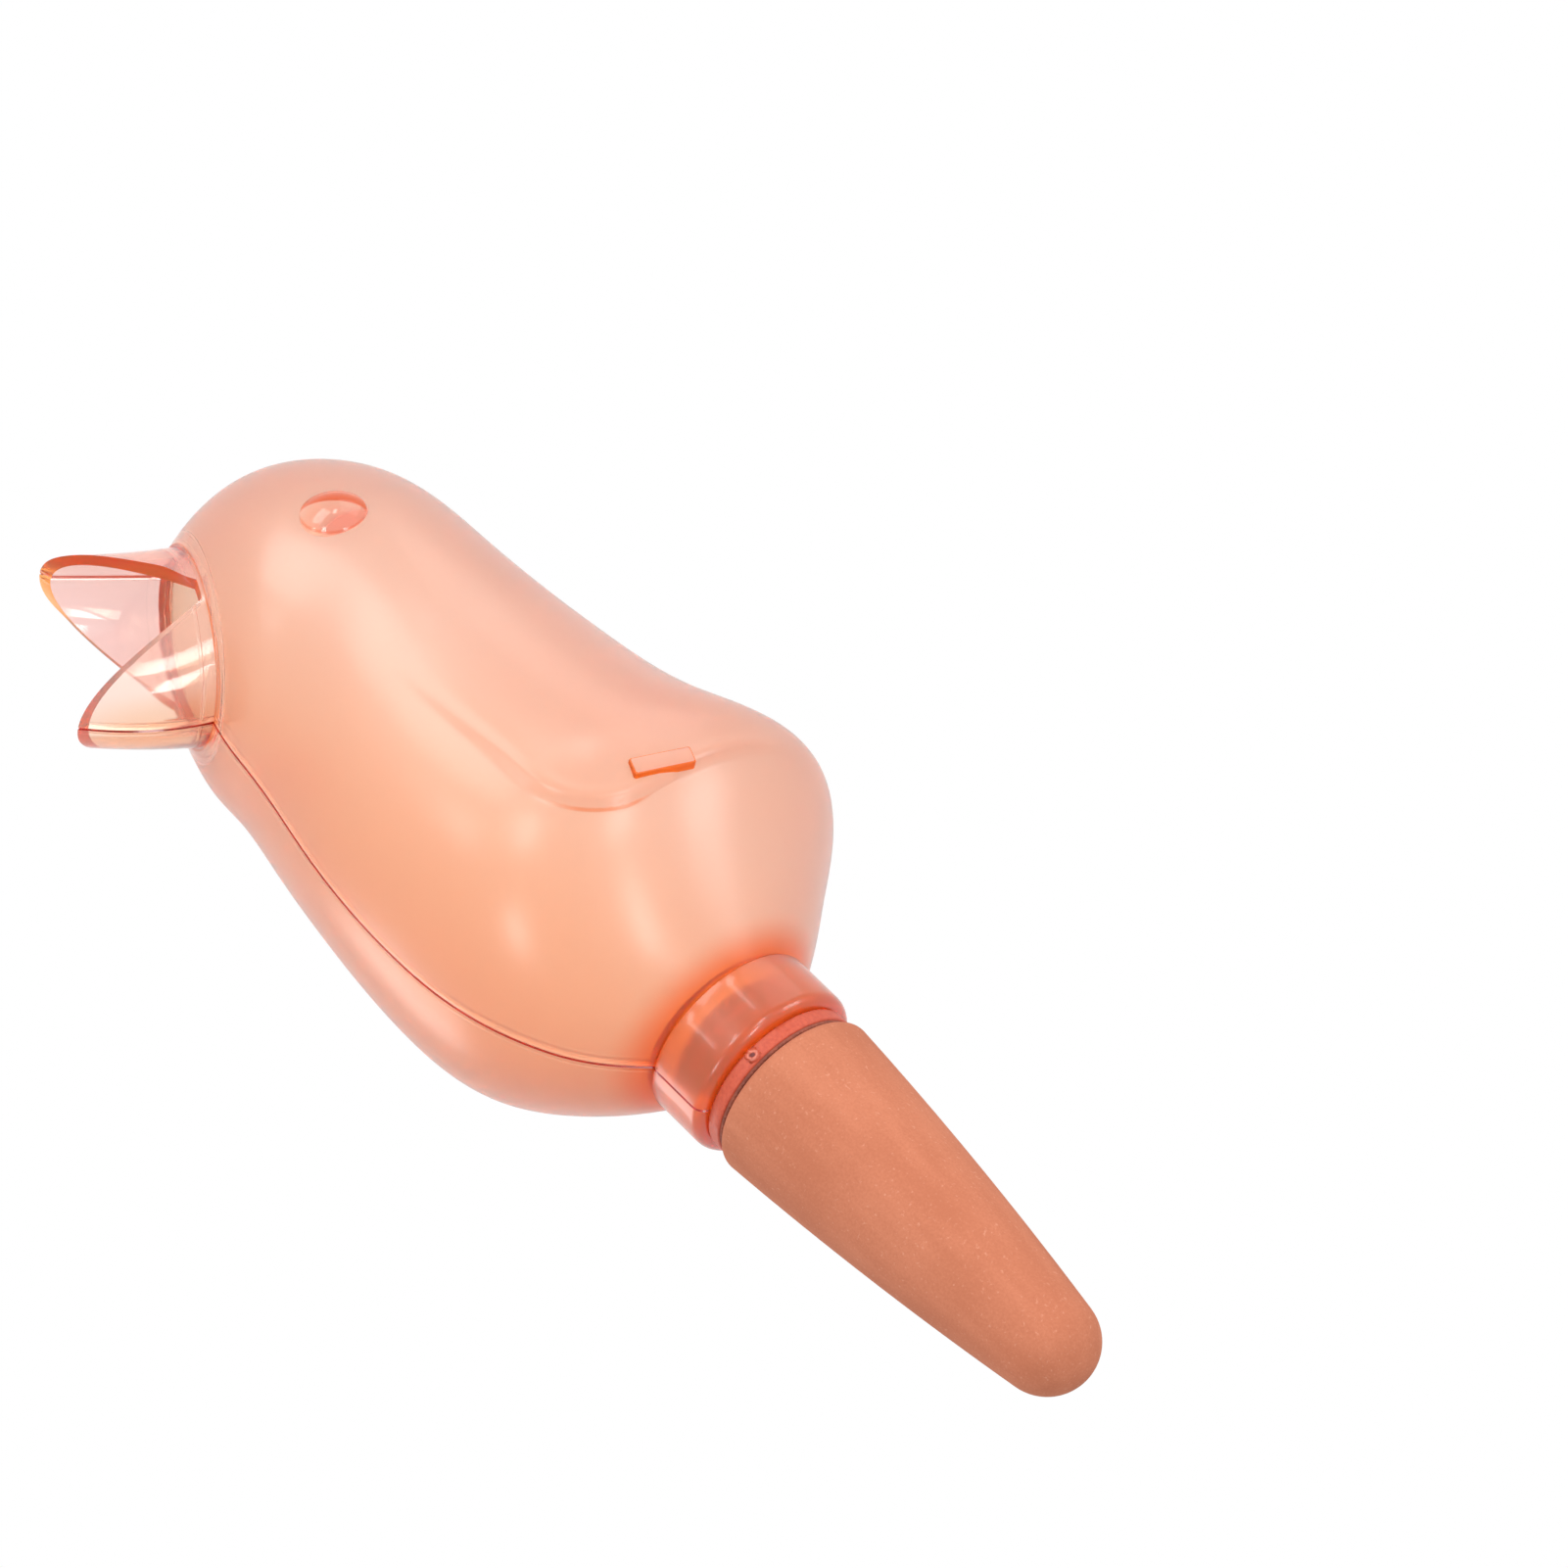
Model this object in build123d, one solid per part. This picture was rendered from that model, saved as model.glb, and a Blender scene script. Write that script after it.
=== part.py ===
from build123d import *
import os
from math import cos, pi, radians, sin, tan

# Bird-shaped watering bottle on a clay cone. +Z is up along the spike, the bird faces -Y and X = 0 is its
# mirror plane. The origin is on the spike's axis at the rim of the clay cone, where the soil line runs.

# Clay cone
cone_radius = 14.6
cone_length = 68.5
cone_mid_radius = 12.4
cone_mid_depth = 28.0
cone_tip_radius = 8.3
cone_tip_angle = 9.0
cone_edge_round = 1.8
cone_wall = 4.2
cone_floor = 6.0

# Screw adapter, bonded into the cone
flange_radius = 13.8
flange_thickness = 2.6
flange_round = 0.4
spigot_depth = 9.0
spigot_room = 2.0
adapter_wall = 2.6
stem_radius = 11.4
stem_height = 10.2
stem_round = 0.6
bond_thickness = 0.6
bond_gap = 0.3
bond_setback = 0.3
gate_radius = 1.1
gate_height = 0.35
gate_azimuth = -38.5

# Screw thread between adapter and neck
thread_pitch = 3.0
thread_turns = 2.0
thread_depth = 1.0
thread_root_width = 1.25
thread_crest_width = 0.5
thread_clearance = 0.3
thread_start = 2.6
thread_bite = 0.2

# Sealing ring
seal_thickness = 1.6
seal_width = 1.3
seal_clearance = 0.15

# Bottle neck
neck_radius = 15.5
neck_length = 11.3
rim_gap = 0.2
rim_round = 2.0
neck_step = 0.6
neck_round = 0.3

# Bottle body, as sections from the neck to the beak ring. Each has its front edge's height above the neck, its
# backward tilt in degrees, the breast's reach in front of the axis, its depth and its half width.
body_sections = [
    (5.3, 0.0, 22.5, 44.5, 20.0),
    (13.3, 0.0, 29.0, 60.0, 27.2),
    (25.3, 0.0, 34.0, 76.0, 35.8),
    (41.3, 0.0, 35.7, 72.0, 36.2),
    (59.3, 3.0, 34.4, 65.3, 34.0),
    (75.3, 15.92, 31.4, 61.29, 33.1),
    (85.3, 35.81, 29.85, 62.78, 29.6),
    (91.3, 54.42, 28.95, 49.54, 23.5),
    (95.3, 66.6, 28.0, 35.6, 15.5),
]
wall = 2.0

# Beak, as sections parallel to the ring: the distance from the ring, the middle's rise above the ring's axis,
# the half height and the half width.
ring_step = 0.4
ring_bite = 1.0
beak_sections = [
    (10.0, 0.0, 18.5, 12.8),
    (24.0, 1.9, 18.0, 12.3),
]
beak_wall = 2.2
throat_run = 3.0
gape_upper_angle = 44.5
gape_lower_angle = 30.5
gape_corner_start = 0.4
gape_corner_height = 4.0
gape_corner_round = 1.6

# Eyes, wings and the bare pad at the foot of each wing. Heights are above the neck.
eye_radius = 5.5
eye_rise = 2.0
eye_y = -4.3
eye_height = 101.5
wing_rise = 1.1
wing_tuck = 2.0
wing_front = 18.0
wing_bottom = 23.5
wing_top = 70.0
wing_corner = 13.7
pad_length = 10.2
pad_height = 3.2
pad_slope = 18.0
pad_rise = 0.5
pad_y = -0.6
pad_lift = 2.2

# Lap along the body's seam: a tongue of the right half sits in a rebate of the left half
lap_width = 1.4
lap_clearance = 0.08
lap_end = 5.0

quarter_points = 4
section_count = 24

flange_top = bond_thickness + flange_thickness
rim_bottom = flange_top + rim_gap
neck_top = rim_bottom + neck_length
bore_radius = stem_radius + thread_depth + thread_clearance
thread_bottom = flange_top + thread_start
cone_bore = cone_radius - cone_wall
spigot_radius = cone_bore - bond_gap
seal_inner = stem_radius + seal_clearance
seal_outer = seal_inner + seal_width
body_reach = 2 * max(depth for _, _, _, depth, _ in body_sections)


def body_curves():
    start = neck_radius - neck_step
    front = [Vector(0, -start, neck_top)]
    back = [Vector(0, start, neck_top)]
    half = [start]
    for height, tilt, reach, depth, half_width in body_sections:
        foot = Vector(0, -reach, neck_top + height)
        front.append(foot)
        back.append(foot + Vector(0, cos(radians(tilt)), sin(radians(tilt))) * depth)
        half.append(half_width)
    middles = [(a + b) * 0.5 for a, b in zip(front, back)]
    along = [0.0]
    for a, b in zip(middles, middles[1:]):
        along.append(along[-1] + (b - a).length)
    share = [length / along[-1] for length in along]
    side = [Vector(length, width, 0) for length, width in zip(along, half)]
    return [Edge.make_spline(points, parameters=share) for points in (front, back, side)]


front_line, back_line, side_line = body_curves()


def oval(low, high, half_width):
    # An ellipse between a low and a high point of the mirror plane, made of quarters.
    middle = (low + high) * 0.5
    reach = (high - low) * 0.5
    out = Vector(half_width, 0, 0)
    edges = []
    for quarter in range(4):
        turns = [pi / 2 * (quarter + i / quarter_points) for i in range(quarter_points + 1)]
        points = [middle + reach * cos(turn) + out * sin(turn) for turn in turns]
        ways = [out * cos(turn) - reach * sin(turn) for turn in (turns[0], turns[-1])]
        edges.append(Edge.make_spline(points, tangents=ways, parameters=turns, scale=False))
    return Face(Wire(edges))


def body_section(t, inset):
    # Low point, high point and half width at one place along the body, moved inwards square to the surface.
    low, high, half_width = front_line @ t, back_line @ t, (side_line @ t).Y
    front_way, back_way = front_line % t, back_line % t
    new_low = low + Vector(0, front_way.Z, -front_way.Y) * inset
    new_high = high + Vector(0, -back_way.Z, back_way.Y) * inset
    return new_low, new_high, half_width - ((high - low).length - (new_high - new_low).length) / 2


def body_solid(inset=0.0):
    return loft([oval(*body_section(i / section_count, inset)) for i in range(section_count + 1)])


def swollen_body(rise):
    # The body tucked in at breast and back and swollen at its sides, so that only wings and pads stand out.
    sections = []
    for i in range(section_count + 1):
        t = i / section_count
        low, high, _ = body_section(t, wing_tuck)
        half_width = body_section(t, 0.0)[2]
        height = (low.Z + high.Z) / 2 - neck_top
        swell = wing_rise * cos(pi / 2 * (height / wing_top) ** 2)
        sections.append(oval(low, high, half_width + swell + rise))
    return loft(sections)


ring_low, ring_high = front_line @ 1, back_line @ 1
ring_middle = (ring_low + ring_high) * 0.5
ring_up = (ring_high - ring_low).normalized()
ring_out = Vector(0, -ring_up.Z, ring_up.Y)
ring_half_height = (ring_high - ring_low).length / 2
ring_half_width = body_sections[-1][-1]
beak_side = Plane(origin=ring_middle, x_dir=ring_out, z_dir=(-1, 0, 0))


def ring_oval(distance, rise, height, width):
    middle = ring_middle + ring_out * distance + ring_up * rise
    return oval(middle - ring_up * height, middle + ring_up * height, width)


def beak_solid(inset, back_end, past):
    # The beak as a closed tube from behind the ring to past both jaws.
    distance, *last = beak_sections[-1]
    base = (-back_end, 0.0, ring_half_height - ring_step, ring_half_width - ring_step)
    stations = [base, *beak_sections[:-1], (distance + past, *last)]
    return loft([ring_oval(d, rise, height - inset, width - inset) for d, rise, height, width in stations])


def gape():
    # The wedge between the jaws, cut straight across the beak.
    far = beak_sections[-1][0] * 2
    start = gape_corner_start
    upper = (far, (far - start) * tan(radians(gape_upper_angle)))
    lower = (far, -gape_corner_height - (far - start) * tan(radians(gape_lower_angle)))
    wedge = make_face(Polyline((start, 0), upper, lower, (start, -gape_corner_height), close=True))
    corners = wedge.vertices().sort_by(Axis.X)[:2]
    return extrude(beak_side * fillet(corners, gape_corner_round), amount=body_reach, both=True)


def side_prism(outline):
    # An outline drawn as (Y, Z), pushed out through the bird's left side.
    return extrude(Plane.YZ.offset(neck_radius) * outline, amount=body_reach)


def wing():
    bottom = neck_top + wing_bottom
    top = neck_top + wing_top + wing_corner
    outline = make_face(Polyline((-wing_front, bottom), (body_reach, bottom), (body_reach, top),
                                 (-wing_front, top), close=True))
    corner = outline.vertices().sort_by(Axis.Y)[:2].sort_by(Axis.X)[0]
    return swollen_body(0.0) & side_prism(fillet(corner, wing_corner))


def pad():
    place = Location((pad_y, neck_top + wing_bottom + pad_lift), -pad_slope)
    return swollen_body(pad_rise) & side_prism(place * Rectangle(pad_length, pad_height))


def eye(body):
    height = neck_top + eye_height
    surface = max(point.X for point, _ in body.find_intersection_points(Axis((0, eye_y, height), (1, 0, 0))))
    ball = (eye_radius ** 2 + eye_rise ** 2) / (2 * eye_rise)
    return Pos(surface + eye_rise - ball, eye_y, height) * Sphere(ball)


def thread(root_radius, crest_radius, bottom, turns):
    # A helical ridge on a wall, sunk into it by the bite so that the two become one.
    inwards = -1 if crest_radius < root_radius else 1
    path = Helix(thread_pitch, thread_pitch * turns, root_radius, center=(0, 0, bottom))
    foot = root_radius - inwards * thread_bite
    half_root, half_crest = thread_root_width / 2, thread_crest_width / 2
    profile = make_face(Polyline((foot, -half_root), (crest_radius, -half_crest), (crest_radius, half_crest),
                                 (foot, half_root), close=True))
    return sweep(Plane((0, 0, bottom), x_dir=(1, 0, 0), z_dir=(0, -1, 0)) * profile, path=path, is_frenet=True)


def turned(points):
    return revolve(Plane.XZ * make_face(Polyline(*points, close=True)), Axis.Z)


def cylinder(radius, bottom, top):
    return Pos(0, 0, bottom) * Cylinder(radius, top - bottom, align=(Align.CENTER, Align.CENTER, Align.MIN))


def seam_slab(width, play):
    # The space beside the seam on the left, above the neck and behind the ring.
    slab = Pos(0, 0, neck_top + wall + play) * Box(
        width, body_reach, body_reach, align=(Align.MIN, Align.CENTER, Align.MIN))
    front = Plane(origin=ring_middle - ring_out * (lap_end + play), z_dir=ring_out)
    return split(slab, bisect_by=front, keep=Keep.BOTTOM)


def bottle_parts():
    body = body_solid()
    neck = cylinder(neck_radius, rim_bottom, neck_top)
    neck = fillet(neck.edges().sort_by(Axis.Z)[0], rim_round)
    neck = fillet(neck.edges().sort_by(Axis.Z)[-1], neck_round)
    hollow = body_solid(wall)
    bottle = body + neck + beak_solid(0.0, ring_bite, 0.0)
    for relief in (wing(), pad(), eye(body)):
        bottle += relief
        bottle += mirror(relief, Plane.YZ)
    bottle -= hollow
    bottle -= beak_solid(beak_wall, throat_run, throat_run)
    bottle -= cylinder(bore_radius, rim_bottom, neck_top + 2 * wall)
    bottle -= cylinder(seal_outer + seal_clearance, rim_bottom, flange_top + seal_thickness)
    bottle -= gape()
    thread_crest = bore_radius - thread_depth
    bottle += thread(bore_radius, thread_crest, thread_bottom + thread_pitch / 2, thread_turns - 0.5)

    left = split(bottle, bisect_by=Plane.YZ, keep=Keep.TOP)
    right = split(bottle, bisect_by=Plane.YZ, keep=Keep.BOTTOM)
    left -= body_solid(wall / 2) & seam_slab(lap_width + lap_clearance, 0.0)
    right += (body_solid(wall / 2 + lap_clearance) & seam_slab(lap_width, lap_clearance)) - hollow
    return left, right


def clay_cone():
    tip_middle = cone_tip_radius - cone_length
    leave = radians(cone_tip_angle)
    shoulder = (cone_radius, -cone_edge_round)
    flank_end = (cone_tip_radius * cos(leave), tip_middle - cone_tip_radius * sin(leave))
    tip_side = (cone_tip_radius * cos(pi / 4), tip_middle - cone_tip_radius * sin(pi / 4))
    rim_side = (cone_radius - cone_edge_round, 0)
    rim_bulge = (cone_radius - cone_edge_round * (1 - cos(pi / 4)), -cone_edge_round * (1 - sin(pi / 4)))
    well_radius = cone_tip_radius - cone_wall
    well_bottom = cone_floor - cone_length
    well_side = (well_radius, well_bottom + well_radius)
    well_bulge = (well_radius * cos(pi / 4), well_bottom + well_radius * (1 - sin(pi / 4)))
    bore_end = -spigot_depth - spigot_room
    outline = [
        ThreePointArc((0, -cone_length), tip_side, flank_end),
        ThreePointArc(flank_end, (cone_mid_radius, -cone_mid_depth), shoulder),
        ThreePointArc(shoulder, rim_bulge, rim_side),
        Polyline(rim_side, (cone_bore, 0), (cone_bore, bore_end), well_side),
        ThreePointArc(well_side, well_bulge, (0, well_bottom)),
        Line((0, well_bottom), (0, -cone_length)),
    ]
    return revolve(Plane.XZ * make_face(outline), Axis.Z)


def cone_cement():
    edge = flange_radius - bond_setback
    return turned([(spigot_radius, -spigot_depth), (cone_bore, -spigot_depth), (cone_bore, 0), (edge, 0),
                   (edge, bond_thickness), (spigot_radius, bond_thickness)])


def thread_adapter():
    stem_top = flange_top + stem_height
    stem_bore = stem_radius - adapter_wall
    spigot_bore = spigot_radius - adapter_wall
    solid = turned([
        (spigot_bore, -spigot_depth), (spigot_radius, -spigot_depth), (spigot_radius, bond_thickness),
        (flange_radius, bond_thickness), (flange_radius, flange_top), (stem_radius, flange_top),
        (stem_radius, stem_top), (stem_bore, stem_top), (stem_bore, flange_top),
        (spigot_bore, flange_top - (stem_bore - spigot_bore)),
    ])
    rims = solid.edges().filter_by(GeomType.CIRCLE)
    solid = fillet(rims.filter_by(lambda e: abs(e.radius - flange_radius) < 1e-6), flange_round)
    top_rim = solid.edges().filter_by(GeomType.CIRCLE).sort_by(Axis.Z).filter_by(
        lambda e: abs(e.radius - stem_radius) < 1e-6)[-1]
    solid = chamfer(top_rim, stem_round)
    gate = Rot(0, 0, gate_azimuth) * Pos(flange_radius, 0, bond_thickness + flange_thickness / 2) * (
        Rot(0, 90, 0) * Cylinder(gate_radius, 2 * gate_height))
    return solid + gate + thread(stem_radius, stem_radius + thread_depth, thread_bottom, thread_turns)


def sealing_ring():
    seal_top = flange_top + seal_thickness
    return turned([
        (seal_inner, flange_top), (seal_outer, flange_top),
        (seal_outer, seal_top), (seal_inner, seal_top),
    ])


left_half, right_half = bottle_parts()
pieces = {
    "left_body_half": left_half,
    "right_body_half": right_half,
    "sealing_ring": sealing_ring(),
    "thread_adapter": thread_adapter(),
    "cone_cement": cone_cement(),
    "clay_cone": clay_cone(),
}
os.makedirs("parts", exist_ok=True)
for name, piece in pieces.items():
    export_step(piece, f"parts/{name}.step")
    print(name, round(piece.volume, 1), piece.is_valid, len(piece.solids()))
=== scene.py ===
import bmesh
import bpy
import numpy as np
from math import cos, hypot, pi, radians, sin
from mathutils import Matrix, Vector


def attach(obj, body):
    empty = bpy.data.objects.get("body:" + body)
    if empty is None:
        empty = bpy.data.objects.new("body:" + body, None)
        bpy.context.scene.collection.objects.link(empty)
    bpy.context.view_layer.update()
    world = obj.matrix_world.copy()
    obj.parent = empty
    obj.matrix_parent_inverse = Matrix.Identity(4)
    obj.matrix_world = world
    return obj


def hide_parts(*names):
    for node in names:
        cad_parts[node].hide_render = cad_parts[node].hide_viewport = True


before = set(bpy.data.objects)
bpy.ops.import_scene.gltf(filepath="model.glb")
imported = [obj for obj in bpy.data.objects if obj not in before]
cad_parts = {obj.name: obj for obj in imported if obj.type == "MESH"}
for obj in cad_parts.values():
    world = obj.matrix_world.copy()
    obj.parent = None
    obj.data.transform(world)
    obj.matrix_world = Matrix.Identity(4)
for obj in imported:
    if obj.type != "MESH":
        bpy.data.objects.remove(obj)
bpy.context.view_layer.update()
mm = 0.001
weldGap, cadWeldGap = 1e-6, 2e-6      # metres
smoothAngle = 30                      # degrees


# small helpers for working by hand in edit mode

def startFresh():
    if bpy.context.mode != "OBJECT":
        bpy.ops.object.mode_set(mode="OBJECT")
    bpy.ops.object.select_all(action="DESELECT")


def takeNew(name):
    piece = bpy.context.active_object
    piece.name = name
    piece.data.name = name
    return piece


def editOnly(piece, mode="VERT"):
    startFresh()
    piece.select_set(True)
    bpy.context.view_layer.objects.active = piece
    bpy.ops.object.mode_set(mode="EDIT")
    bpy.ops.mesh.select_mode(type=mode)
    bpy.ops.mesh.select_all(action="DESELECT")
    return bmesh.from_edit_mesh(piece.data)


def pick(piece, shape, kind, test):
    group = {"VERT": shape.verts, "EDGE": shape.edges, "FACE": shape.faces}[kind]
    for element in group:
        if test(element):
            element.select_set(True)
    shape.select_flush_mode()
    bmesh.update_edit_mesh(piece.data)


def leaveEdit():
    bpy.ops.object.mode_set(mode="OBJECT")


def applyModifier(piece, kind, **settings):
    startFresh()
    piece.select_set(True)
    bpy.context.view_layer.objects.active = piece
    modifier = piece.modifiers.new(kind.lower(), kind)
    for key, value in settings.items():
        setattr(modifier, key, value)
    bpy.ops.object.modifier_apply(modifier=modifier.name)


def smoothBy(piece):
    startFresh()
    piece.select_set(True)
    bpy.context.view_layer.objects.active = piece
    bpy.ops.object.shade_smooth_by_angle(angle=radians(smoothAngle))


def dropPiece(piece):
    bpy.data.objects.remove(piece, do_unlink=True)


def smoothStep(low, high, value):
    t = np.clip((value - low) / (high - low), 0.0, 1.0)
    return t * t * (3 - 2 * t)


# a cubic curve through given values, its end slopes taken from the first and last four

def curveThrough(knots, values, at):
    knots = np.asarray(knots, float)
    values = np.asarray(values, float)
    count = len(knots)
    slopeA = np.polyval(np.polyder(np.polyfit(knots[:4], values[:4], 3)), knots[0])
    slopeB = np.polyval(np.polyder(np.polyfit(knots[-4:], values[-4:], 3)), knots[-1])
    rows = np.eye(count)
    right = np.zeros(count)
    right[0], right[-1] = slopeA, slopeB
    for i in range(1, count - 1):
        before, after = knots[i] - knots[i - 1], knots[i + 1] - knots[i]
        rows[i, i - 1:i + 2] = 1 / before, 2 / before + 2 / after, 1 / after
        right[i] = 3 * ((values[i] - values[i - 1]) / before ** 2 + (values[i + 1] - values[i]) / after ** 2)
    slopes = np.linalg.solve(rows, right)
    spot = np.clip(np.searchsorted(knots, at) - 1, 0, count - 2)
    span = knots[spot + 1] - knots[spot]
    t = (at - knots[spot]) / span
    return (values[spot] * (1 + 2 * t) * (1 - t) ** 2 + slopes[spot] * span * t * (1 - t) ** 2
            + values[spot + 1] * t * t * (3 - 2 * t) + slopes[spot + 1] * span * t * t * (t - 1))


# materials

class Weave:
    # one output of a node, with arithmetic
    def __init__(self, tree, socket):
        self.tree = tree
        self.socket = socket

    def node(self, kind, inputs=None, out=0, **settings):
        made = self.tree.nodes.new(kind)
        for key, value in settings.items():
            setattr(made, key, value)
        for key, value in (inputs or {}).items():
            if isinstance(value, Weave):
                self.tree.links.new(value.socket, made.inputs[key])
            else:
                made.inputs[key].default_value = value
        return Weave(self.tree, made.outputs[out])

    def calc(self, operation, *terms):
        return self.node("ShaderNodeMath", dict(enumerate(terms)), operation=operation)

    def __add__(self, other):
        return self.calc("ADD", self, other)

    __radd__ = __add__

    def __sub__(self, other):
        return self.calc("SUBTRACT", self, other)

    def __rsub__(self, other):
        return self.calc("SUBTRACT", other, self)

    def __mul__(self, other):
        return self.calc("MULTIPLY", self, other)

    __rmul__ = __mul__

    def __truediv__(self, other):
        return self.calc("DIVIDE", self, other)

    def __rtruediv__(self, other):
        return self.calc("DIVIDE", other, self)

    def larger(self, other):
        return self.calc("MAXIMUM", self, other)

    def root(self):
        return self.calc("SQRT", self)

    def size(self):
        return self.calc("ABSOLUTE", self)

    def between(self, low, high):
        return self.node("ShaderNodeMapRange", {0: self, 1: low, 2: high}, interpolation_type="SMOOTHSTEP")


def newMaterial(name):
    material = bpy.data.materials.new(name)
    material.use_nodes = True
    tree = material.node_tree
    shader = tree.nodes["Principled BSDF"]
    coords = tree.nodes.new("ShaderNodeTexCoord")
    place = Weave(tree, coords.outputs["Object"])
    return material, tree, shader, place


def setSockets(shader, **values):
    for key, value in values.items():
        shader.inputs[key.replace("_", " ")].default_value = value


plasticLook = {
    "sheenBodyTint": (1.0, 0.94, 0.93), "shadedBodyTint": (1.0, 0.78, 0.62),
    "clearTint": (0.99, 0.83, 0.91), "jawTint": (1.0, 0.95, 0.96), "floorTint": (1.0, 0.76, 0.60),
    "collarTint": (1.0, 0.97, 0.96), "eyeTint": (1.0, 0.98, 0.96), "eyeShadeTint": (0.80, 0.13, 0.015),
    "neckTint": (1.0, 0.38, 0.085), "grooveShadeTint": (1.0, 0.26, 0.035),
    "edgeGlowTint": (0.96, 0.24, 0.006), "seamTint": (0.46, 0.010, 0.001),
    "bodyRough": 0.28, "clearRough": 0.08, "neckRough": 0.34, "edgeRough": 0.35, "neckCoat": 0.5, "coatRough": 0.12,
    "ior": 1.46, "absorb": (1.0, 0.52, 0.12), "density": 250, "through": 0.88,
    # painted shade at the breast to painted sheen at the back
    "shadeSheenWay": (0.3, 0.9, 0.2), "shadeSheenFrom": -16.0, "shadeSheenTo": 25.0,
    # the ring that carries the beak
    "ringMiddle": (0.0, -20.93, 126.34), "ringOut": (0.0, -0.9178, 0.3971), "ringUp": (0.0, 0.3971, 0.9178),
    "ringWide": 15.5, "ringTall": 17.8, "ringMean": 16.6, "collar": 2.3, "floorFrom": -18.5, "floorTo": -15.5,
    # neck and shoulder
    "neckTop": 14.9, "grooveTop": 20.0, "rimTop": 5.6, "rimDeep": 1.2, "lipShare": 0.4,
    # eye and the painted shade crescent across its top
    "eyeSpot": (30.03, -4.3, 116.2), "eyeOut": (0.969, -0.151, 0.194), "eyeRadius": 5.3,
    "eyeAcrossWay": (0.1626, 0.7623, -0.6265), "eyeUpWay": (0.7106, 0.3500, 0.6103),
    "shadeOvalWide": 5.4, "shadeOvalTall": 2.3, "shadeOvalDrop": 0.6,
    # foot of the wing
    "wingCorner": (0.0, -4.3, 51.9), "wingBend": 13.7, "creaseOff": 0.5,
    "sideWide": 35.9, "sideMiddle": 3.0, "sideDeep": 37.5,
    "creaseShadeShare": 0.7, "lowRimShadeShare": 0.5, "ringShare": 0.7, "farRimShare": 0.8,
    "mottle": 900.0, "mottleDeep": 0.05, "grain": 3200.0, "grainTall": 0.0008, "seamLine": 0.75, "lineTall": 0.06,
}


def axisDistance(place, way, spot):
    # how far a point lies along a direction from a spot, in millimetres
    shifted = place.node("ShaderNodeVectorMath", {0: place, 1: [v * mm for v in spot]}, operation="SUBTRACT")
    along = place.node("ShaderNodeVectorMath", {0: shifted, 1: way}, out="Value", operation="DOT_PRODUCT")
    return along / mm


def distanceTo(place, spot):
    # how far a point lies from a spot, in millimetres
    gap = place.node("ShaderNodeVectorMath", {0: place, 1: [v * mm for v in spot]}, out="Value", operation="DISTANCE")
    return gap / mm


def leftSide(place):
    # the point itself on the left half, its mirror image on the right
    across, along, above = [place.node("ShaderNodeSeparateXYZ", {0: place}, out=k) for k in range(3)]
    return place.node("ShaderNodeCombineXYZ", {0: across.size(), 1: along, 2: above})


def blendColour(place, factor, first, second):
    mix = place.tree.nodes.new("ShaderNodeMix")
    mix.data_type = "RGBA"
    place.tree.links.new(factor.socket, mix.inputs["Factor"])
    for key, colour in ((6, first), (7, second)):
        if isinstance(colour, Weave):
            place.tree.links.new(colour.socket, mix.inputs[key])
        else:
            mix.inputs[key].default_value = (*colour, 1)
    return Weave(place.tree, mix.outputs[2])


def plug(shader, **values):
    for key, value in values.items():
        value.tree.links.new(value.socket, shader.inputs[key.replace("_", " ")])


def mark(place, name):
    return place.node("ShaderNodeAttribute", out="Fac", attribute_name=name)


def speckle(place, scale, detail=3.0, stretch=None):
    # even noise from 0 to 1 over the piece, stretched along an axis if asked
    spot = place
    if stretch:
        spot = place.node("ShaderNodeMapping", {"Vector": place, "Rotation": stretch[0], "Scale": stretch[1]})
    return place.node("ShaderNodeTexNoise", {"Vector": spot, "Scale": scale, "Detail": detail}, out="Fac")


def grain(shader, height, strength, distance):
    bump = height.node("ShaderNodeBump", {"Height": height, "Strength": strength, "Distance": distance * mm})
    plug(shader, Normal=bump)


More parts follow.
